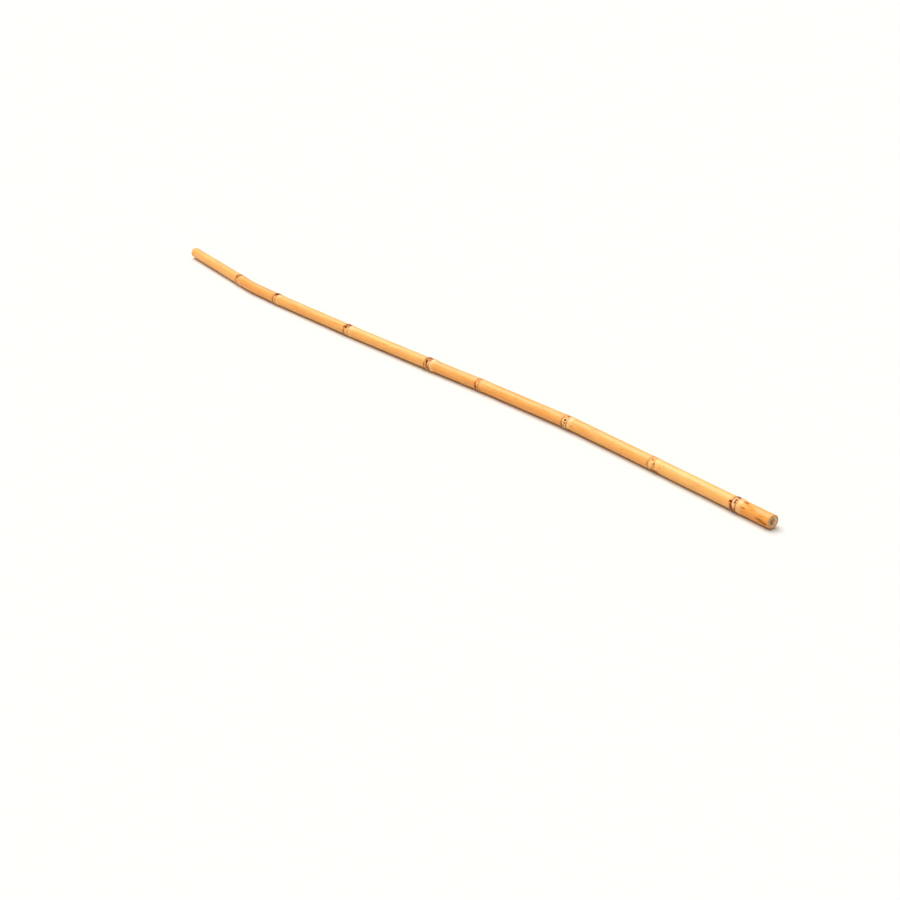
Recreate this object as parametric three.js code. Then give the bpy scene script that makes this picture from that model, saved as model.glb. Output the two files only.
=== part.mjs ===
// A dry bamboo garden cane, 1.2 m long, sawn square at both ends and lying on a flat surface.
// Millimetres, +Z up. +X runs from the butt (thick end) to the tip. The origin is the middle of
// the cane's box, at the height of the surface it lies on.

import * as THREE from 'three';

// Driving dimensions
const LENGTH = 1200;
const BUTT_RADIUS = 8.1;
const TIP_RADIUS = 7.4;
const HOLLOW = 0.58; // radius of the hollow, as a share of the outer radius
const SAWN_EDGE = 0.3; // bevel left on the rim by the saw
const WALL_TO_NODE = 4; // the hollow of an end stops this far short of the end's first node
const FLOOR_DEPTH = 3; // the floor of a hollow is dished by this much,
const FLOOR_SHOULDER = 1; // and this much of it lies inside the shoulder,
const SHOULDER = 0.7; // which is a ring of this share of the hollow's radius
const BEND = 18; // the cane's line turns over this distance to each side of a node
const SIDES = 24; // one side faces straight down
const STEP = 25; // longest plain stretch between two rings

// The nodes from butt to tip: distance of the sheath scar from the butt, length of the band
// between the scar and the ring above it, sideways sway of the cane's line at the scar, how much
// thicker the cane is at the lip of the scar than beside the node, and how far the lip stays clear
// of the surface. The cane rests on four of its nodes.
const NODES = [
  { at: 49, band: 6.5, sway: 0, swell: 0.115, clear: 0 },
  { at: 183, band: 8, sway: -4.1, swell: 0.04, clear: 0.15 },
  { at: 334, band: 9, sway: -6.8, swell: 0.12, clear: 0 },
  { at: 496, band: 5.5, sway: -0.2, swell: 0.06, clear: 0.2 },
  { at: 589, band: 10, sway: 6.8, swell: 0.16, clear: 0.2 },
  { at: 761, band: 9, sway: 16.1, swell: 0.08, clear: 0.15 },
  { at: 932, band: 7, sway: 22.3, swell: 0.09, clear: 0 },
  { at: 1038, band: 7, sway: 19.2, swell: 0.08, clear: 0 },
];
const BUTT_SWAY = 1.2;
const TIP_SWAY = 3;

// The cane also bends once where it has no node.
const PLAIN_BEND = { at: 1006, sway: 22.6 };

// The outline around a node, in two stretches of points: distance, and share of the swelling.
// From the butt side it is the flare up to the lip of the sheath scar, and the step behind it.
const SCAR_OUTLINE = [
  [-15, 0],
  [-9, 0.16],
  [-5, 0.5],
  [-2.9, 0.9],
  [-2.3, 1],
  [-0.2, 1],
  [0.4, 0.6],
];
// Then the low ring at the far end of the root band, and the fall to the plain cane.
const RING_OUTLINE = [
  [-1.6, 0.52],
  [-0.5, 0.7],
  [0.6, 0.7],
  [2.4, 0.3],
  [7, 0],
];

const first = NODES[0];
const last = NODES[NODES.length - 1];

// Radius of the cane where there is no node, at a distance from the butt.
function plainRadius(distance) {
  return THREE.MathUtils.lerp(BUTT_RADIUS, TIP_RADIUS, distance / LENGTH);
}

// Outer outline from butt to tip, as points of (radius, distance).
function outerOutline() {
  const points = [];
  const add = (distance, swelling = 0) => {
    points.push(new THREE.Vector2(plainRadius(distance) * (1 + swelling), distance));
  };
  const addPlain = (from, to) => {
    const count = Math.ceil((to - from) / STEP);
    for (let i = 1; i < count; i++) add(from + ((to - from) * i) / count);
  };
  points.push(new THREE.Vector2(BUTT_RADIUS - SAWN_EDGE, 0));
  add(SAWN_EDGE);
  let reached = SAWN_EDGE;
  for (const { at, band, swell } of NODES) {
    addPlain(reached, at + SCAR_OUTLINE[0][0]);
    for (const [offset, share] of SCAR_OUTLINE) add(at + offset, share * swell);
    for (const [offset, share] of RING_OUTLINE) add(at + band + offset, share * swell);
    reached = points[points.length - 1].y;
  }
  addPlain(reached, LENGTH - SAWN_EDGE);
  add(LENGTH - SAWN_EDGE);
  points.push(new THREE.Vector2(TIP_RADIUS - SAWN_EDGE, LENGTH));
  return points;
}

// Outline of one end's hollow, from its rim to the middle of its dished floor.
function hollowOutline(rim, floor) {
  const inwards = Math.sign(floor - rim);
  const wallEnd = floor - inwards * FLOOR_DEPTH;
  const shoulder = floor - inwards * FLOOR_SHOULDER;
  const points = [];
  const count = Math.ceil(Math.abs(wallEnd - rim) / STEP);
  for (let i = 0; i <= count; i++) {
    const distance = rim + ((wallEnd - rim) * i) / count;
    points.push(new THREE.Vector2(plainRadius(distance) * HOLLOW, distance));
  }
  points.push(new THREE.Vector2(plainRadius(floor) * HOLLOW * SHOULDER, shoulder));
  points.push(new THREE.Vector2(0, floor));
  return points;
}

// The cane's line runs straight from stop to stop and turns a little at each one.
const stops = [
  { at: 0, sway: BUTT_SWAY },
  ...[...NODES, PLAIN_BEND].sort((a, b) => a.at - b.at),
  { at: LENGTH, sway: TIP_SWAY },
];
const slopes = stops.slice(1).map((stop, i) => (stop.sway - stops[i].sway) / (stop.at - stops[i].at));
const turns = slopes.slice(1).map((slope, i) => ({ at: stops[i + 1].at, by: slope - slopes[i] }));

// Share of a turn that is made at a distance past its stop, and the sideways way it has made.
function turnMade(past) {
  return THREE.MathUtils.clamp((past + BEND) / (2 * BEND), 0, 1);
}

function wayMade(past) {
  return Math.abs(past) < BEND ? (past + BEND) ** 2 / (4 * BEND) : Math.max(past, 0);
}

function swayAt(distance) {
  const start = BUTT_SWAY + slopes[0] * distance;
  return turns.reduce((sway, { at, by }) => sway + by * wayMade(distance - at), start);
}

// Direction of the cane's line, as a turn about +Z from +X.
function yawAt(distance) {
  return Math.atan(turns.reduce((slope, { at, by }) => slope + by * turnMade(distance - at), slopes[0]));
}

// Height of the cane's line over the surface at a node: it rests on the lowest side of the lip.
function lineHeight(node) {
  return plainRadius(node.at) * (1 + node.swell) * Math.cos(Math.PI / SIDES) + node.clear;
}

function heightAt(distance) {
  const before = NODES.findLast((node) => node.at <= distance) ?? first;
  const after = NODES.find((node) => node.at > distance) ?? last;
  const t = THREE.MathUtils.smoothstep(distance, before.at, after.at);
  return THREE.MathUtils.lerp(lineHeight(before), lineHeight(after), t);
}

// Turned about a straight axis first, then each ring is carried to its place on the cane's line.
function caneGeometry() {
  const outline = [
    ...hollowOutline(0, first.at - WALL_TO_NODE).reverse(),
    ...outerOutline(),
    ...hollowOutline(LENGTH, last.at + last.band + WALL_TO_NODE),
  ];
  const geometry = new THREE.LatheGeometry(outline, SIDES, Math.PI / SIDES);
  const position = geometry.attributes.position;
  const point = new THREE.Vector3();
  for (let i = 0; i < position.count; i++) {
    point.fromBufferAttribute(position, i);
    const distance = point.y;
    const across = point.z;
    const up = point.x;
    const yaw = yawAt(distance);
    point.x = distance - across * Math.sin(yaw);
    point.y = swayAt(distance) + across * Math.cos(yaw);
    point.z = heightAt(distance) + up;
    position.setXYZ(i, point.x, point.y, point.z);
  }
  geometry.computeVertexNormals();
  return geometry;
}

const straw = new THREE.MeshStandardMaterial({ color: 0xe2b25c, roughness: 0.42, metalness: 0 });
const cane = new THREE.Mesh(caneGeometry(), straw);
cane.name = 'cane';

// The origin goes to the middle of the box, at its lowest height.
cane.geometry.computeBoundingBox();
const box = cane.geometry.boundingBox;
const middle = box.getCenter(new THREE.Vector3());
cane.position.set(-middle.x, -middle.y, -box.min.z);

const part = new THREE.Group();
part.add(cane);

export default part;
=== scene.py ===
# The looks of a dry bamboo garden cane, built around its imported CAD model.
# The cane is one finely meshed piece on a pale floor under soft light. Its procedural material comes
# waxy for the skin, and matt for its marks and the bands of its nodes.

import bpy
import numpy as np
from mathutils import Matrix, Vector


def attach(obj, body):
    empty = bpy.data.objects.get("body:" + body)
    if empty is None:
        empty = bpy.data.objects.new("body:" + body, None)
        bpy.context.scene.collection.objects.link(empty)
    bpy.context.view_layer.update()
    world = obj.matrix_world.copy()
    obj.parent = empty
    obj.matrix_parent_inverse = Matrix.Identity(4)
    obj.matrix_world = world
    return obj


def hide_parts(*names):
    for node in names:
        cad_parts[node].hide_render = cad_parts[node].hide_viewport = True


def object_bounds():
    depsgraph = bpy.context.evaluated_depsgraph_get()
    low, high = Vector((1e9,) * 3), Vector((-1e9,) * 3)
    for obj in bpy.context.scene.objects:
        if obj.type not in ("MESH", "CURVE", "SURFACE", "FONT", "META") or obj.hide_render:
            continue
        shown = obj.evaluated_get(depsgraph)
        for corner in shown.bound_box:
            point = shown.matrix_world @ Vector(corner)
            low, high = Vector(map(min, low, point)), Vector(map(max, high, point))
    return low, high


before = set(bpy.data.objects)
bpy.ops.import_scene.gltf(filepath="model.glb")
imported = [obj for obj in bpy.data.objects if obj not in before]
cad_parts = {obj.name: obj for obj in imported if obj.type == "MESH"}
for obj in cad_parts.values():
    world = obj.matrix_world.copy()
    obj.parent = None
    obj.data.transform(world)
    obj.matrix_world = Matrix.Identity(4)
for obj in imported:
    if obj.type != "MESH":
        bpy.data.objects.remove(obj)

CAD_BOX = [list(corner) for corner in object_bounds()]

# ---------------------------------------------------------------- driving dimensions, millimetres
# These are the CAD's own: the cane's ends, taper, hollow, nodes and line.
MM = 0.001
LENGTH = 1200
BUTT_RADIUS = 8.1
TIP_RADIUS = 7.4
HOLLOW = 0.58
WALL_TO_NODE = 4
FLOOR_DEPTH = 3
BEND = 18
BUTT_SWAY = 1.2
TIP_SWAY = 3
PLAIN_BEND = {"at": 1006, "sway": 22.6}

# at: distance of the sheath scar from the butt; clear: how far the scar's lip stays off the floor;
# band: from the scar to the ring above it; swell: how much thicker the cane is at the scar's lip.
# The rest are looks: tilt of the scar; lean: how much less it swells away from the side lean_to; how
# strongly the scar's line (partly painted shadow of its lip), the ring, the cream band, the cast at its top,
# the tan halo past the ring and the pale, painted sheen on the flare before the scar show; pale: how pale the
# cane is from this node on, which past the first node is painted sheen.
NODES = [
    dict(at=49, clear=0, band=6.5, sway=0, swell=0.115, tilt=-0.6, lean=0.35, lean_to=-20,
         line=0.6, ring=0.85, cream=0.95, cast=0.6, halo=0.9, pale_and_sheen=0.6, pale=0.5),
    dict(at=183, clear=0.15, band=8, sway=-4.1, swell=0.04, tilt=-1.2, lean=0.2, lean_to=100,
         line=0.35, ring=0.4, cream=0.4, cast=0.4, halo=0.1, pale_and_sheen=0.2, pale=0.25),
    dict(at=334, clear=0, band=9, sway=-6.8, swell=0.12, tilt=-0.8, lean=0.3, lean_to=160,
         line=0.6, ring=0.45, cream=0.6, cast=0.4, halo=0.3, pale_and_sheen=0.7, pale=0.1),
    dict(at=496, clear=0.2, band=5.5, sway=-0.2, swell=0.06, tilt=-0.5, lean=0.2, lean_to=60,
         line=0.45, ring=0.55, cream=0.35, cast=0.5, halo=0.3, pale_and_sheen=0.2, pale=0.1),
    dict(at=589, clear=0.2, band=10, sway=6.8, swell=0.16, tilt=0.4, lean=0.45, lean_to=-25,
         line=0.45, ring=0.55, cream=0.35, cast=0.8, halo=0.2, pale_and_sheen=0.8, pale=0.35),
    dict(at=761, clear=0.15, band=9, sway=16.1, swell=0.08, tilt=-0.6, lean=0.3, lean_to=-30,
         line=0.4, ring=0.6, cream=0.35, cast=0.8, halo=0.3, pale_and_sheen=0.5, pale=0.2),
    dict(at=932, clear=0, band=7, sway=22.3, swell=0.09, tilt=0.5, lean=0.15, lean_to=10,
         line=0.45, ring=0.6, cream=0.3, cast=0.9, halo=0.3, pale_and_sheen=0.3, pale=0.0),
    dict(at=1038, clear=0, band=7, sway=19.2, swell=0.08, tilt=0.4, lean=0.15, lean_to=40,
         line=0.45, ring=0.6, cream=0.35, cast=0.7, halo=0.3, pale_and_sheen=0.3, pale=0.3),
]
STUB_PALE = 0.0  # of the stretch before the first node

# Mesh
SIDES = 96
PLAIN_STEP = 5.0  # between rings of vertices in an internode
FLARE_STEP = 1.0  # on the flare and the fall of a node
BAND_STEP = 0.36  # from the scar to the ring
EDGE_RINGS = [(0.0, 0.3), (0.06, 0.14), (0.16, 0.05), (0.34, 0.0)]  # worn edge of a sawn end: in, down
FACE_RINGS = 9  # on a sawn face, from the rind to the hollow
FLOOR_RINGS = 6  # on a hollow's dished floor
MOUTH_ROUNDING = 0.25
SAW_MARKS = 0.08
CHIPS = 0.06
NODE_REACH = (15, 25)  # a node's looks fade out between these distances from its middle

# Shape of a node
FLARE_LENGTH = 5.2
FALL_LENGTH = 3.2
LIP_LENGTH = 0.38  # of the step down behind the scar's lip
BAND_HEIGHT = 0.55  # of the band, as a share of the lip's
SPOT_HEIGHT = 0.16
BUD_RIM = 0.3
BUD_DEPTH = 0.55  # below its rim

# The flat map that textures are baked to
STRIPS = 5
STRIP = LENGTH / STRIPS
SKIN_SHARE = 0.9  # of the map's height

# Colours
STRAW = "e7a047"
GOLD = "e29438"
TAN = "d6802e"
PALE = "eebb6c"
FIBRE = "c6782c"
CREAM = "ebcf9c"
CAST = "864518"
HALO = "cb7a32"
# The scar's own dark line, together with the painted shadow of its lip.
SCAR_LINE_AND_SHADOW = "802c04"
RING = "702200"
ROOT_SPOT = "6a1e00"
BUD = "401000"
STAIN = "7c3806"
SPECK = "8e4412"
SAWN_WOOD = "e8b676"
SAWN_FIBRE = "985620"
RIND = "a8682b"
PITH = "f0ddc4"
MEMBRANE = "cfac88"

# Reflection, as the shader's specular level: the skin is waxy, marks and the nodes' bands aren't.
WAXY = 0.5
MATT = 0.12
MATT_MARKS = 0.35  # marks are matt where they are stronger than this,
MATT_PAST_RING = 1.2  # and the band as far as this past its ring

# Camera, floor and light
CAMERA_AT = (-1.7501, 1.326, 0.858)
CAMERA_TURN = (66.09, 0, -127.9)
LENS = 72
FLOOR_REACH = 40
FLOOR_COLOUR = (0.62, 0.605, 0.585, 1)
AMBIENT = 0.2
HORIZON = (0.3, 0.12)  # the surroundings grow paler between these heights,
HORIZON_LIGHT = 1.0  # up to this light at the horizon
SOFTBOX = 4.6
SOFTBOX_SPREAD = 62
SOFTBOX_TILT = (0, 21, 0)
FILL = 0.9
FILL_SPREAD = 70
FILL_TILT = (-69, 0, 34)
FILL_COLOUR = (1.0, 0.84, 0.6)

# Marks on the skin: distance from the butt, angle in degrees from the top towards +Y,
# half length along the cane, half width round it, and strength from 0 to 1.
ROOT_SPOTS = [
    (57.6, 56, 2.6, 1.6, 1.0),
    (57.3, 79, 1.8, 0.9, 0.75),
    (51.4, 50, 1.3, 1.5, 1.0),
    (51.6, 30, 1.2, 1.4, 0.85),
    (51.4, -9, 2.6, 2.0, 1.0),
    (55.5, -16, 1.4, 1.6, 0.8),
    (187.0, 28, 1.9, 0.9, 0.75),
    (337.6, 6, 1.6, 1.2, 0.9),
    (337.7, 52, 2.2, 1.4, 1.0),
    (337.5, 75, 2.2, 1.2, 0.75),
    (492.6, 22, 1.6, 0.9, 0.6),
]
BUDS = [
    (595.4, 50, 2.1, 2.5, 1.0),
    (766.7, 46, 1.9, 1.8, 1.0),
    (771.3, 43, 1.5, 1.5, 1.0),
    (935.0, 16, 3.2, 2.2, 0.8),
    (188.0, 232, 1.8, 2.2, 0.8),
    (500.0, 240, 1.6, 2.0, 0.8),
]
STAINS = [
    (38.5, 8, 4.4, 1.3, 1.0),
    (37.0, 20, 7.0, 0.5, 0.8),
    (38.5, 62, 4.2, 0.8, 1.0),
    (46.0, 58, 3.2, 0.4, 0.8),
    (54.0, 100, 1.6, 2.6, 1.0),
    (52.5, 122, 3.4, 3.4, 1.0),
    (47.5, 128, 3.0, 2.4, 0.8),
    (13.0, 90, 9.0, 2.6, 0.75),
    (6.0, 104, 5.0, 2.0, 1.0),
    (3.0, 116, 3.0, 1.4, 1.0),
    (14.0, 112, 2.0, 0.7, 0.8),
    (21.0, 70, 4.0, 0.5, 0.6),
    (31.0, 26, 15.0, 3.0, 0.52),
    (26.0, 46, 12.0, 2.6, 0.5),
    (40.0, 2, 8.0, 1.6, 0.5),
    (12.0, 62, 8.0, 2.6, 0.5),
    (8.0, 92, 7.0, 3.4, 0.5),
    (181.0, 62, 2.2, 2.4, 0.9),
    (180.0, 84, 2.0, 1.8, 0.7),
    (180.0, 122, 9.0, 2.6, 1.0),
    (340.4, 104, 4.5, 2.0, 0.8),
    (331.0, 128, 6.0, 2.2, 0.9),
    (503.6, 66, 1.8, 1.6, 0.8),
    (500.6, 96, 1.8, 3.4, 1.0),
    (493.0, 112, 1.4, 3.0, 0.8),
    (594.8, 82, 2.2, 3.2, 1.0),
    (594.0, 102, 2.8, 3.4, 1.0),
    (590.5, 112, 3.0, 3.4, 0.9),
    (599.4, 72, 1.6, 1.4, 0.7),
    (594.0, -8, 5.5, 2.4, 1.0),
    (600.5, 20, 1.0, 2.4, 0.8),
    (765.0, -8, 5.0, 2.8, 1.0),
    (768.0, 24, 2.6, 2.8, 0.8),
    (934.0, -2, 5.5, 2.6, 1.0),
    (1044.0, 6, 5.0, 2.6, 0.7),
    (1044.5, 46, 4.2, 2.0, 1.0),
    (1046.0, 28, 3.4, 2.8, 0.9),
    (423.5, 46, 1.6, 1.2, 0.8),
]
HIDDEN_SIDE = (150, 320)  # degrees: the side where each node's root spots are placed by chance
SPOTS_THERE = 4
CAST_SIDE = -20  # degrees: the cast is strongest there,
SHADED_SIDE = 110  # and the nodes' lines are darkest and widest there, as painted shade on the underside


# ---------------------------------------------------------------- the cane's line
STOPS = sorted(
    [{"at": 0, "sway": BUTT_SWAY}, *NODES, PLAIN_BEND, {"at": LENGTH, "sway": TIP_SWAY}],
    key=lambda stop: stop["at"],
)
SLOPES = [(b["sway"] - a["sway"]) / (b["at"] - a["at"]) for a, b in zip(STOPS, STOPS[1:])]
TURNS = [(stop["at"], after - before) for stop, before, after in zip(STOPS[1:], SLOPES, SLOPES[1:])]


def sway_at(distance):
    """Sideways place of the cane's line: straight from stop to stop, with a short bend at each."""
    sway = BUTT_SWAY + SLOPES[0] * distance
    for at, turn in TURNS:
        past = distance - at
        bending = (past + BEND) ** 2 / (4 * BEND)
        sway = sway + turn * np.where(np.abs(past) < BEND, bending, np.maximum(past, 0))
    return sway


def yaw_at(distance):
    """Direction of the cane's line, as a turn about +Z from +X."""
    slope = SLOPES[0] + 0 * distance
    for at, turn in TURNS:
        slope = slope + turn * np.clip((distance - at + BEND) / (2 * BEND), 0, 1)
    return np.arctan(slope)


# ---------------------------------------------------------------- the cane's surface
def smoothstep(value, low, high):
    t = np.clip((value - low) / (high - low), 0, 1)
    return t * t * (3 - 2 * t)


def ripple(distance, angle, lengths, seed):
    """A smooth uneven surface, mostly within -1 to 1, with waves of these lengths along the cane."""
    chance = np.random.default_rng(seed)
    total = 0
    for length in lengths:
        for order in (1, 2, 3, 5):
            along = 2 * np.pi * distance / (length * chance.uniform(0.8, 1.25))
            around = order * angle
            total = total + np.cos(along + chance.uniform(0, 7)) * np.cos(around + chance.uniform(0, 7))
    return total / np.sqrt(4 * len(lengths))


def plain_radius(distance):
    return BUTT_RADIUS + (TIP_RADIUS - BUTT_RADIUS) * distance / LENGTH


def scar_line(node, angle, seed):
    """Where a node's scar runs: it tilts a little, and wavers."""
    waver = 0.16 * ripple(0 * angle, angle, [1], seed) + 0.05 * np.cos(11 * angle + seed)
    return node["at"] + node["tilt"] * np.cos(angle - np.radians(57)) + waver


def ring_line(node, angle, seed):
    waver = 0.22 * ripple(0 * angle, angle, [1], seed + 50)
    return node["at"] + node["band"] + 0.4 * node["tilt"] * np.cos(angle - np.radians(57)) + waver


def swelling(node, distance, angle, seed):
    """What a node adds to the radius: flare, lip and step of the scar, root band, ring and fall."""
    past_scar = distance - scar_line(node, angle, seed)
    past_ring = distance - ring_line(node, angle, seed)
    height = node["swell"] * plain_radius(node["at"])
    height = height * (1 + node["lean"] * (np.cos(angle - np.radians(node["lean_to"])) - 1) / 2)
    flare = np.exp(-((np.maximum(-past_scar - 0.3, 0) / FLARE_LENGTH) ** 1.35))
    lip = np.exp(-((np.maximum(past_scar, 0) / LIP_LENGTH) ** 2))
    band = BAND_HEIGHT + (1 - BAND_HEIGHT) * lip
    fall = np.exp(-((np.maximum(past_ring, 0) / FALL_LENGTH) ** 1.4))
    groove = (0.05 + 0.12 * height) * np.exp(-(((past_scar - 0.75) / LIP_LENGTH) ** 2))
    ridge = (0.05 + 0.14 * height) * np.exp(-(((past_ring + 0.2) / 0.75) ** 2))
    crease = 0.07 * np.exp(-(((past_ring - 1.1) / 0.35) ** 2))
    return height * np.where(past_scar < 0, flare, band * fall) - groove + ridge - crease


def closeness(mark, distance, angle):
    """1 in the middle of a mark, 0.4 at its edge, and 0 further off."""
    at, turn, half_length, half_width, _ = mark
    around = (angle - np.radians(turn) + np.pi) % (2 * np.pi) - np.pi
    along = (distance - at) / half_length
    across = around * plain_radius(at) / half_width
    return np.clip(1 - 0.6 * np.hypot(along, across), 0, 1)


def mask(marks, distance, angle):
    total = np.zeros(np.broadcast(distance, angle).shape)
    for mark in marks:
        total = np.maximum(total, mark[-1] * closeness(mark, distance, angle))
    return total


def hidden_spots():
    """Root spots for the hidden side, placed by chance."""
    chance = np.random.default_rng(7)
    spots = []
    for node in NODES:
        for _ in range(SPOTS_THERE):
            at = node["at"] + node["band"] * chance.uniform(0.25, 0.9)
            turn = chance.uniform(*HIDDEN_SIDE)
            sizes = chance.uniform(0.8, 1.6), chance.uniform(0.7, 1.2)
            spots.append((at, turn, *sizes, chance.uniform(0.4, 1)))
    return spots


ALL_ROOT_SPOTS = ROOT_SPOTS + hidden_spots()


def skin_radius(distance, angle):
    radius = plain_radius(distance)
    radius = radius + 0.045 * ripple(distance, angle, [210, 95, 47], 3)
    radius = radius + 0.06 * np.cos(2 * angle + 0.4 + distance / 160)
    for seed, node in enumerate(NODES):
        radius = radius + swelling(node, distance, angle, seed)
    radius = radius + SPOT_HEIGHT * mask(ALL_ROOT_SPOTS, distance, angle)
    for mark in BUDS:
        near = closeness(mark, distance, angle)
        rim, pit = smoothstep(near, 0.1, 0.4), smoothstep(near, 0.4, 0.8)
        radius = radius + mark[-1] * (BUD_RIM * rim - BUD_DEPTH * pit)
    return radius


def hollow_radius(distance, angle):
    radius = HOLLOW * plain_radius(distance)
    return radius * (1 + 0.03 * ripple(distance, angle, [60, 21], 11) + 0.03 * np.cos(angle - 2.2))


# ---------------------------------------------------------------- rows of vertices
# Each row is one ring: distance and radius for every angle, and what the surface is there.
ANGLES = -np.pi + 2 * np.pi * np.arange(SIDES) / SIDES
SKIN, SAWN, WALL, FLOOR = 0, 1, 2, 3
BUTT_DEPTH = NODES[0]["at"] - WALL_TO_NODE
TIP_DEPTH = LENGTH - NODES[-1]["at"] - NODES[-1]["band"] - WALL_TO_NODE


def skin_distances():
    """Places of the skin's rings: close together at the nodes, far apart between them."""
    places = [EDGE_RINGS[-1][0]]

    def advance(to, step):
        count = max(1, round((to - places[-1]) / step))
        places.extend(np.linspace(places[-1], to, count + 1)[1:])

    for node in NODES:
        scar, ring = node["at"], node["at"] + node["band"]
        advance(scar - 16, PLAIN_STEP)
        advance(scar - 2, FLARE_STEP)
        advance(ring + 2.2, BAND_STEP)
        advance(ring + 9, FLARE_STEP)
    advance(LENGTH - EDGE_RINGS[-1][0], PLAIN_STEP)
    return places


def end_rows(end, depth):
    """One end's rows, from near the middle of the hollow's floor out to the sawn edge."""
    inwards = 1 if end == 0 else -1
    rows = []
    wall_end = end + inwards * (depth - FLOOR_DEPTH)
    for share in np.linspace(0, 1, FLOOR_RINGS, endpoint=False)[1:]:
        dish = inwards * FLOOR_DEPTH * np.sqrt(1 - share**2)
        rows.append((wall_end + dish, hollow_radius(wall_end, ANGLES) * share, FLOOR))
    mouth = end + inwards * MOUTH_ROUNDING
    for distance in np.linspace(wall_end, mouth, max(6, round(depth / PLAIN_STEP)), endpoint=True):
        rows.append((distance, hollow_radius(distance, ANGLES), WALL))
    inner = hollow_radius(end, ANGLES) + MOUTH_ROUNDING / 2
    outer = skin_radius(end + inwards * EDGE_RINGS[-1][0], ANGLES)
    for share in np.linspace(0, 1, FACE_RINGS):
        radius = inner + (outer - EDGE_RINGS[0][1] - inner) * share
        lengthwise, upright = radius * np.cos(ANGLES), radius * np.sin(ANGLES)
        marks = SAW_MARKS * ripple(upright + lengthwise, 0.8 * lengthwise, [1.9, 1.1], 23 + end)
        rows.append((end + inwards * np.abs(marks), radius, SAWN))
    for inset, down in EDGE_RINGS[1:-1]:
        chips = CHIPS * ripple(0 * ANGLES, 3 * ANGLES, [1], 31 + end)
        rows.append((end + inwards * (inset + SAW_MARKS / 2), outer - down + np.minimum(chips, 0), SAWN))
    return rows


def all_rows():
    skin = [(distance, skin_radius(distance, ANGLES), SKIN) for distance in skin_distances()]
    return end_rows(0, BUTT_DEPTH) + skin + end_rows(LENGTH, TIP_DEPTH)[::-1]


def placed(distance, radius, angle):
    """Points on the cane's own line, at the height that the nodes give it."""
    across = radius * np.sin(angle)
    yaw = yaw_at(distance)
    heights = []
    for seed, node in enumerate(NODES):
        lip = skin_radius(scar_line(node, ANGLES, seed), ANGLES)
        heights.append(node["clear"] + np.max(-lip * np.cos(ANGLES)))
    height = heights[0] + 0 * distance
    for node, after, low, high in zip(NODES, NODES[1:], heights, heights[1:]):
        height = height + (high - low) * smoothstep(distance, node["at"], after["at"])
    x = distance - across * np.sin(yaw)
    y = sway_at(distance) + across * np.cos(yaw)
    return np.stack([x, y, height + radius * np.cos(angle)], axis=-1)


# ---------------------------------------------------------------- mesh
def cane_faces(rows):
    """Quads between neighbouring rings, and a fan of triangles round the middle of each floor.
    Vertex 0 is the butt floor's middle, the last vertex the tip floor's."""
    side = np.arange(SIDES)
    after = (side + 1) % SIDES
    here = 1 + SIDES * np.arange(rows - 1)[:, None]
    there = here + SIDES
    quads = np.stack([here + side, there + side, there + after, here + after], -1)
    top = 1 + SIDES * (rows - 1)
    fan = [[0, 1 + a, 1 + b] for a, b in zip(side.tolist(), after.tolist())]
    far_fan = [[top + SIDES, top + b, top + a] for a, b in zip(side.tolist(), after.tolist())]
    return quads.reshape(-1, 4).tolist() + fan + far_fan


def unrolled(distance, radius, angle_number, zone, at_butt):
    """A point's place on the flat map that the textures are baked to, from 0 to 1 each way: the
    skin in five strips, then the two hollows' walls, then the two sawn ends with their floors."""
    turn = angle_number / SIDES
    if zone == SKIN:
        strip = np.minimum(distance.mean(-1, keepdims=True) // STRIP, STRIPS - 1)
        along = 0.01 + 0.98 * (distance - strip * STRIP) / STRIP
        return along, (strip + 0.95 * turn) * SKIN_SHARE / STRIPS
    inset = distance if at_butt else LENGTH - distance
    if zone == WALL:
        return (0.01 if at_butt else 0.22) + inset / STRIP, SKIN_SHARE + 0.01 + 0.08 * turn
    reach = 0.035 * (radius + (inset if zone == SAWN else 0)) / (BUTT_RADIUS + 0.6)
    centre = 0.885 if at_butt else 0.96
    return centre + reach * np.cos(2 * np.pi * turn), 0.955 + reach * np.sin(2 * np.pi * turn)


def add_bake_map(mesh, distance, radius, kind):
    """Lays each face out on the map by its zone, which is the lower of its two rings' kinds."""
    rows = len(kind)
    number = np.arange(SIDES)
    corners = np.stack([number, number, number + 1, number + 1], -1)
    flat = []
    for row in range(rows - 1):
        zone = {(SKIN, SAWN): SAWN, (SAWN, WALL): WALL, (WALL, FLOOR): FLOOR}.get(
            tuple(sorted((kind[row], kind[row + 1]))), kind[row])
        pick = np.array([row, row + 1, row + 1, row])
        spots = distance[pick, corners % SIDES], radius[pick, corners % SIDES]
        flat.append(np.stack(unrolled(*spots, corners, zone, row < rows / 2), -1))
    for row, first, second in ((0, number, number + 1), (rows - 1, number + 1, number)):
        corners = np.stack([number, first, second], -1)
        radii = radius[row, corners % SIDES] * [0, 1, 1]
        flat.append(np.stack(unrolled(0 * radii, radii, corners, FLOOR, row == 0), -1))
    layer = mesh.uv_layers.new(name="OFBake")
    layer.uv.foreach_set("vector", np.concatenate([part.reshape(-1) for part in flat]).astype(np.float32))


def add_attribute(mesh, name, values):
    kind = "FLOAT_VECTOR" if values.ndim == 2 else "FLOAT"
    attribute = mesh.attributes.new(name, kind, "POINT")
    field = "vector" if kind == "FLOAT_VECTOR" else "value"
    attribute.data.foreach_set(field, np.ascontiguousarray(values, np.float32).ravel())


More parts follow.
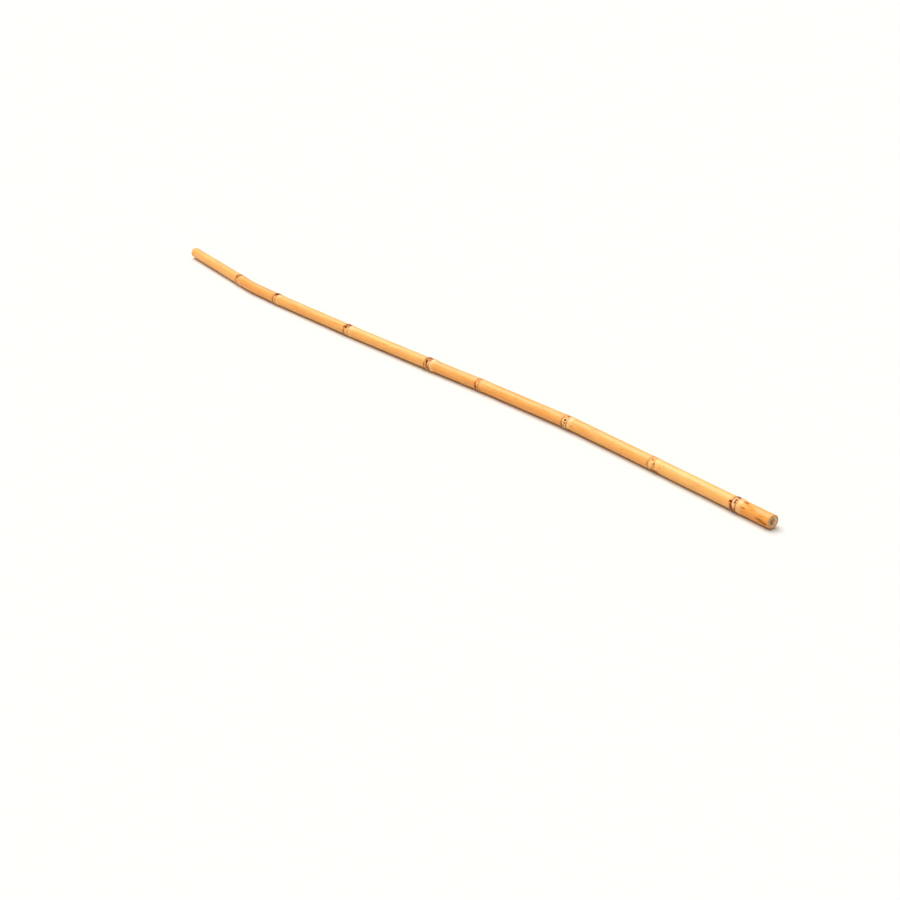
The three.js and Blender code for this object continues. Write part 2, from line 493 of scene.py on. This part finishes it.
def add_surface_facts(mesh, distance, radius, angle, kind):
    """What the material needs to know at each vertex."""
    middles = [(a["at"] + a["band"] + b["at"]) / 2 for a, b in zip(NODES, NODES[1:])]
    nearest = np.searchsorted(middles, distance)
    scars = np.array([scar_line(node, angle, seed) for seed, node in enumerate(NODES)])
    rings = np.array([ring_line(node, angle, seed) for seed, node in enumerate(NODES)])
    vertex = np.arange(len(distance))
    add_attribute(mesh, "along", np.stack([distance, radius * np.cos(angle), radius * np.sin(angle)], -1))
    add_attribute(mesh, "past_scar", distance - scars[nearest, vertex])
    add_attribute(mesh, "past_ring", distance - rings[nearest, vertex])
    centres = np.array([node["at"] + node["band"] / 2 for node in NODES])[nearest]
    by_node = 1 - smoothstep(np.abs(distance - centres), *NODE_REACH)
    add_attribute(mesh, "by_node", by_node)
    for look in ("line", "ring", "cream", "cast", "halo", "pale_and_sheen"):
        add_attribute(mesh, "node_" + look, np.array([node[look] for node in NODES])[nearest] * by_node)
    # Paleness along the cane, changing at each node; past the first node it is painted sheen.
    paleness = STUB_PALE + 0 * distance
    for node, before in zip(NODES, [STUB_PALE, *(node["pale"] for node in NODES)]):
        change = smoothstep(distance, node["at"] - 1, node["at"] + node["band"])
        paleness = paleness + (node["pale"] - before) * change
    add_attribute(mesh, "node_pale", paleness)
    add_attribute(mesh, "cast_side", np.clip(np.cos(angle - np.radians(CAST_SIDE)), 0, 1))
    # How far each vertex faces the underside, where the nodes' lines get painted shade.
    add_attribute(mesh, "shaded_side", np.clip(np.cos(angle - np.radians(SHADED_SIDE)), 0, 1))
    add_attribute(mesh, "root_spots", mask(ALL_ROOT_SPOTS, distance, angle))
    add_attribute(mesh, "buds", mask(BUDS, distance, angle))
    add_attribute(mesh, "stains", mask(STAINS, distance, angle))
    add_attribute(mesh, "sawn", (kind == SAWN) * 1.0)
    add_attribute(mesh, "inside", (kind >= WALL) * 1.0)
    hollow = hollow_radius(distance, angle)
    add_attribute(mesh, "rind", np.clip((radius - hollow) / (plain_radius(distance) - hollow), 0, 1))


def part_matt_faces(mesh, distance, angle):
    """Gives the second material to the faces of marks, and of the bands from scar to ring."""
    matt = mask(ALL_ROOT_SPOTS + BUDS + STAINS, distance, angle) > MATT_MARKS
    for seed, node in enumerate(NODES):
        past_scar = distance - scar_line(node, angle, seed)
        past_ring = distance - ring_line(node, angle, seed)
        matt = matt | ((past_scar > 0) & (past_ring < MATT_PAST_RING))
    for face in mesh.polygons:
        face.material_index = int(matt[list(face.vertices)].all())


def build_cane():
    rows = all_rows()
    row_kind = np.array([row[2] for row in rows])
    distance = np.array([np.broadcast_to(row[0], SIDES) for row in rows])
    radius = np.array([np.broadcast_to(row[1], SIDES) for row in rows])
    mesh = bpy.data.meshes.new("bamboo_cane")

    def flat(grid, first, last):
        return np.concatenate([[first], grid.ravel(), [last]])

    distances = flat(distance, BUTT_DEPTH, LENGTH - TIP_DEPTH)
    radii = flat(radius, 0, 0)
    angles = flat(np.tile(ANGLES, (len(rows), 1)), 0, 0)
    kinds = flat(np.repeat(row_kind[:, None], SIDES, 1), FLOOR, FLOOR)
    points = placed(distances, radii, angles)
    low, high = points.min(0), points.max(0)
    cad_low, cad_high = (np.array(corner) / MM for corner in CAD_BOX)
    shift = (cad_low + cad_high - low - high) / 2
    shift[2] = cad_low[2] - low[2]
    mesh.from_pydata((points + shift) * MM, [], cane_faces(len(rows)))
    add_bake_map(mesh, distance, radius, row_kind)
    add_surface_facts(mesh, distances, radii, angles, kinds)
    mesh.shade_smooth()
    mesh.materials.append(build_material("culm", WAXY))
    mesh.materials.append(build_material("culm_matt", MATT))
    part_matt_faces(mesh, distances, angles)
    cane = bpy.data.objects.new("bamboo_cane", mesh)
    bpy.context.scene.collection.objects.link(cane)
    return cane


# ---------------------------------------------------------------- material
def colour(code):
    """A colour from its usual six-digit code, as the shader's linear values."""
    parts = np.array([int(code[i:i + 2], 16) / 255 for i in (0, 2, 4)])
    linear = np.where(parts < 0.04045, parts / 12.92, ((parts + 0.055) / 1.055) ** 2.4)
    return (*linear.tolist(), 1)


class Graph:
    """Short ways to add shader nodes. Inputs are numbers, colours or other nodes' outputs."""

    def __init__(self, tree):
        self.tree = tree

    def feed(self, socket, value):
        if isinstance(value, bpy.types.NodeSocket):
            self.tree.links.new(value, socket)
        else:
            socket.default_value = value

    def add(self, kind, inputs, **settings):
        node = self.tree.nodes.new(kind)
        for name, value in settings.items():
            setattr(node, name, value)
        for key, value in inputs.items():
            self.feed(node.inputs[key], value)
        return node

    def fact(self, name, vector=False):
        return self.add("ShaderNodeAttribute", {}, attribute_name=name).outputs["Vector" if vector else "Fac"]

    def math(self, operation, a, b=0.0):
        return self.add("ShaderNodeMath", {0: a, 1: b}, operation=operation).outputs[0]

    def times(self, *values):
        product = values[0]
        for value in values[1:]:
            product = self.math("MULTIPLY", product, value)
        return product

    def step(self, value, low, high):
        """0 below low and 1 above high, with a soft change between; low over high turns it round."""
        inputs = {"Value": value, "From Min": low, "From Max": high}
        return self.add("ShaderNodeMapRange", inputs, interpolation_type="SMOOTHSTEP").outputs[0]

    def line(self, value, middle, half_width):
        """1 where value is middle, 0 past half_width to either side."""
        off = self.math("ABSOLUTE", self.math("SUBTRACT", value, middle))
        return self.step(off, half_width, 0.3 * half_width)

    def mix(self, share, below, above):
        """A colour between two others."""
        node = self.add("ShaderNodeMix", {}, data_type="RGBA")
        factor, low, high = node.inputs[0], node.inputs[6], node.inputs[7]
        for socket, value in ((factor, share), (low, below), (high, above)):
            self.feed(socket, value)
        return node.outputs[2]

    def vector_math(self, operation, a, b):
        return self.add("ShaderNodeVectorMath", {0: a, 1: b}, operation=operation).outputs[0]

    def scaled_place(self, along, around):
        """Place on the cane, in waves or cells: this many per mm along it and round it."""
        return self.vector_math("MULTIPLY", self.fact("along", True), (along, around, around))

    def noise(self, along, around, detail=2.0, offset=0.0):
        """Noise from 0 to 1 with this many waves per mm along the cane and round it."""
        moved = self.vector_math("ADD", self.scaled_place(along, around), (offset, offset, 0))
        return self.add("ShaderNodeTexNoise", {"Vector": moved, "Scale": 1.0, "Detail": detail}).outputs[0]


def skin_colour(g):
    straw = g.mix(g.step(g.noise(0.018, 0.16, 2, 4), 0.35, 0.65), colour(STRAW), colour(GOLD))
    bands = g.step(g.noise(0.012, 0.45, 3, 9), 0.5, 0.7)
    straw = g.mix(g.times(bands, 0.55), straw, colour(TAN))
    # Pale patches, and the paleness from node to node, which past the first node is painted sheen.
    pale = g.math("ADD", g.times(g.step(g.noise(0.03, 0.3, 3, 17), 0.5, 0.7), 0.3), g.fact("node_pale"))
    straw = g.mix(g.math("MINIMUM", pale, 1.0), straw, colour(PALE))
    blotches = g.step(g.noise(0.07, 0.3, 3, 19), 0.58, 0.72)
    straw = g.mix(g.times(blotches, 0.4), straw, colour(TAN))
    fibres = g.step(g.noise(0.04, 2.2, 4, 23), 0.35, 0.7)
    return g.mix(g.times(fibres, 0.38), straw, colour(FIBRE))


def node_colour(g, skin):
    """The node's marks over the skin: halo, pale painted sheen before the scar, cream band, purple-brown cast
    on top, scar line (partly painted shadow of its lip) and ring, both with painted shade towards the
    underside.
    """
    past_scar, past_ring = g.fact("past_scar"), g.fact("past_ring")
    ragged = g.noise(0.4, 0.9, 3, 31)
    streaked = g.noise(0.1, 1.4, 3, 33)
    past = g.times(g.step(past_ring, 0.0, 1.2), g.step(past_ring, 7.0, 2.0))
    halo = g.times(past, g.fact("node_halo"), g.step(streaked, 0.3, 0.6))
    shown = g.mix(halo, skin, colour(HALO))
    # Cream on the flare before the scar: partly a pale zone, partly painted sheen of the flare's highlight.
    before = g.times(g.step(past_scar, -9.0, -2.0), g.step(past_scar, 0.2, -0.6))
    shown = g.mix(g.times(before, g.fact("node_pale_and_sheen"), g.step(streaked, 0.65, 0.4)), shown, colour(CREAM))
    in_band = g.times(g.step(past_scar, 0.2, 1.0), g.step(past_ring, 0.2, -0.8))
    cream = g.times(in_band, g.fact("node_cream"), g.step(ragged, 0.68, 0.4))
    shown = g.mix(cream, shown, colour(CREAM))
    near = g.times(g.step(past_scar, -2.5, 0.5), g.step(past_ring, 3.0, 0.5))
    cast = g.times(near, g.fact("node_cast"), g.step(g.math("ADD", g.fact("cast_side"), ragged), 0.75, 1.2))
    shown = g.mix(g.times(cast, 0.85), shown, colour(CAST))
    # Painted shade: the scar's line and the ring grow darker and wider towards the underside.
    below = g.math("ADD", g.times(g.fact("shaded_side"), 0.9), 0.55)
    narrow = g.math("SUBTRACT", 1.0, g.times(g.fact("shaded_side"), 0.5))
    scar_way, ring_way = g.times(past_scar, narrow), g.times(past_ring, narrow)
    # The scar's line: partly the scar's own dark line, partly painted shadow of its lip.
    scar = g.times(g.line(scar_way, 0.5, 0.85), g.fact("node_line"), g.step(ragged, 0.2, 0.45), below)
    shown = g.mix(g.math("MINIMUM", scar, 0.95), shown, colour(SCAR_LINE_AND_SHADOW))
    broken = g.math("ADD", g.times(g.step(g.noise(0.2, 0.35, 2, 37), 0.3, 0.55), 0.6), 0.4)
    ring = g.times(g.line(ring_way, 0.3, 1.35), g.fact("node_ring"), broken, below)
    return g.mix(g.math("MINIMUM", ring, 0.95), shown, colour(RING))


def marked_colour(g, skin):
    """Root spots, bud scars, stains and specks, with ragged edges."""
    ragged = g.math("SUBTRACT", g.noise(0.9, 0.9, 3, 41), 0.5)

    def patch(name, low, high, roughness):
        return g.step(g.math("ADD", g.fact(name), g.times(ragged, roughness)), low, high)

    streaky = g.math("SUBTRACT", g.noise(0.25, 1.6, 3, 47), 0.5)
    stains = g.step(g.math("ADD", g.fact("stains"), g.times(streaky, 0.8)), 0.3, 0.7)
    shown = g.mix(g.times(stains, 0.8), skin, colour(STAIN))
    shown = g.mix(g.times(patch("root_spots", 0.3, 0.5, 0.35), 0.95), shown, colour(ROOT_SPOT))
    shown = g.mix(g.times(patch("buds", 0.3, 0.5, 0.4), 0.95), shown, colour(BUD))
    return g.mix(specks(g), shown, colour(SPECK))


def specks(g):
    """Small scattered brown flecks, a little longer than wide, in about one cell of five."""
    cells = g.add("ShaderNodeTexVoronoi", {"Vector": g.scaled_place(0.11, 0.24), "Scale": 1.0})
    chance = g.add("ShaderNodeSeparateColor", {"Color": cells.outputs["Color"]}).outputs[0]
    return g.times(g.step(cells.outputs["Distance"], 0.2, 0.1), g.step(chance, 0.76, 0.8), 0.65)


def sawn_colour(g):
    """The cut: tan fibres with dark flecks, darker at the rind and creamy round the hollow."""
    rind = g.fact("rind")
    flecks = g.step(g.noise(1.0, 0.9, 3, 53), 0.45, 0.6)
    wood = g.mix(flecks, colour(SAWN_WOOD), colour(SAWN_FIBRE))
    wood = g.mix(g.step(rind, 0.2, 0.02), wood, colour(PITH))
    return g.mix(g.times(g.step(rind, 0.75, 0.95), 0.6), wood, colour(RIND))


def build_material(name, reflection):
    """The culm's material: skin, sawn ends and hollows, with how strongly it reflects."""
    material = bpy.data.materials.new(name)
    material.use_nodes = True
    tree = material.node_tree
    tree.nodes.clear()
    g = Graph(tree)
    skin = marked_colour(g, node_colour(g, skin_colour(g)))
    marked = g.math("MAXIMUM", g.math("MAXIMUM", g.fact("stains"), g.fact("root_spots")), g.fact("buds"))
    in_node = g.times(g.step(g.fact("past_scar"), -1.5, 0.5), g.step(g.fact("past_ring"), 2.5, 0.5),
                      g.fact("by_node"), 0.7)
    dull = g.math("MAXIMUM", g.step(marked, 0.1, 0.5), in_node)
    inner = g.mix(g.noise(0.06, 1.5, 3, 59), colour(PITH), colour(MEMBRANE))
    shown = g.mix(g.fact("sawn"), skin, sawn_colour(g))
    shown = g.mix(g.fact("inside"), shown, inner)
    cut = g.math("MAXIMUM", g.fact("sawn"), g.fact("inside"))
    gloss = g.math("ADD", g.times(g.noise(0.05, 0.8, 2, 61), 0.2), 0.32)
    roughness = g.math("MAXIMUM", gloss, g.times(g.math("MAXIMUM", cut, dull), 0.85))
    height = g.math("ADD", g.noise(0.07, 3.2, 3, 67), g.times(cut, g.noise(2.0, 2.6, 2, 71), 3.0))
    bump = g.add("ShaderNodeBump", {"Strength": 0.35, "Distance": 0.00012, "Height": height})
    inputs = {"Base Color": shown, "Roughness": roughness, "Normal": bump.outputs[0], "IOR": 1.5,
              "Specular IOR Level": reflection}
    surface = g.add("ShaderNodeBsdfPrincipled", inputs)
    g.add("ShaderNodeOutputMaterial", {"Surface": surface.outputs[0]})
    return material


# ---------------------------------------------------------------- surroundings
def build_floor():
    reach = FLOOR_REACH
    corners = [(-reach, -reach, 0), (reach, -reach, 0), (reach, reach, 0), (-reach, reach, 0)]
    mesh = bpy.data.meshes.new("floor")
    mesh.from_pydata(corners, [], [(0, 1, 2, 3)])
    floor = bpy.data.objects.new("floor", mesh)
    bpy.context.scene.collection.objects.link(floor)
    paper = bpy.data.materials.new("paper")
    paper.use_nodes = True
    surface = paper.node_tree.nodes["Principled BSDF"]
    surface.inputs["Base Color"].default_value = FLOOR_COLOUR
    surface.inputs["Roughness"].default_value = 1.0
    surface.inputs["Specular IOR Level"].default_value = 0.0
    mesh.materials.append(paper)


def add_lamp(name, energy, spread, tilt, tint):
    """A large soft lamp far away: spread is how wide it looks, in degrees."""
    lamp = bpy.data.lights.new(name, "SUN")
    lamp.energy = energy
    lamp.angle = np.radians(spread)
    lamp.color = tint
    lit = bpy.data.objects.new(name, lamp)
    lit.rotation_euler = [np.radians(turn) for turn in tilt]
    bpy.context.scene.collection.objects.link(lit)


def build_light():
    world = bpy.data.worlds.new("studio")
    world.use_nodes = True
    background = world.node_tree.nodes["Background"]
    background.inputs["Color"].default_value = (1, 1, 1, 1)
    g = Graph(world.node_tree)
    direction = g.add("ShaderNodeTexCoord", {}).outputs["Generated"]
    height = g.add("ShaderNodeSeparateXYZ", {"Vector": direction}).outputs["Z"]
    horizon = g.times(g.step(height, *HORIZON), HORIZON_LIGHT - AMBIENT)
    g.tree.links.new(g.math("ADD", horizon, AMBIENT), background.inputs["Strength"])
    bpy.context.scene.world = world
    add_lamp("softbox", SOFTBOX, SOFTBOX_SPREAD, SOFTBOX_TILT, (1, 1, 1))
    add_lamp("fill", FILL, FILL_SPREAD, FILL_TILT, FILL_COLOUR)


def build_camera():
    data = bpy.data.cameras.new("camera")
    data.lens = LENS
    data.clip_end = 100
    camera = bpy.data.objects.new("camera", data)
    camera.location = CAMERA_AT
    camera.rotation_euler = [np.radians(turn) for turn in CAMERA_TURN]
    bpy.context.scene.collection.objects.link(camera)
    bpy.context.scene.camera = camera


build_camera()
cane = build_cane()
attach(cane, "root")
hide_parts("cane")
build_floor()
build_light()
bpy.context.scene.view_settings.view_transform = "Standard"
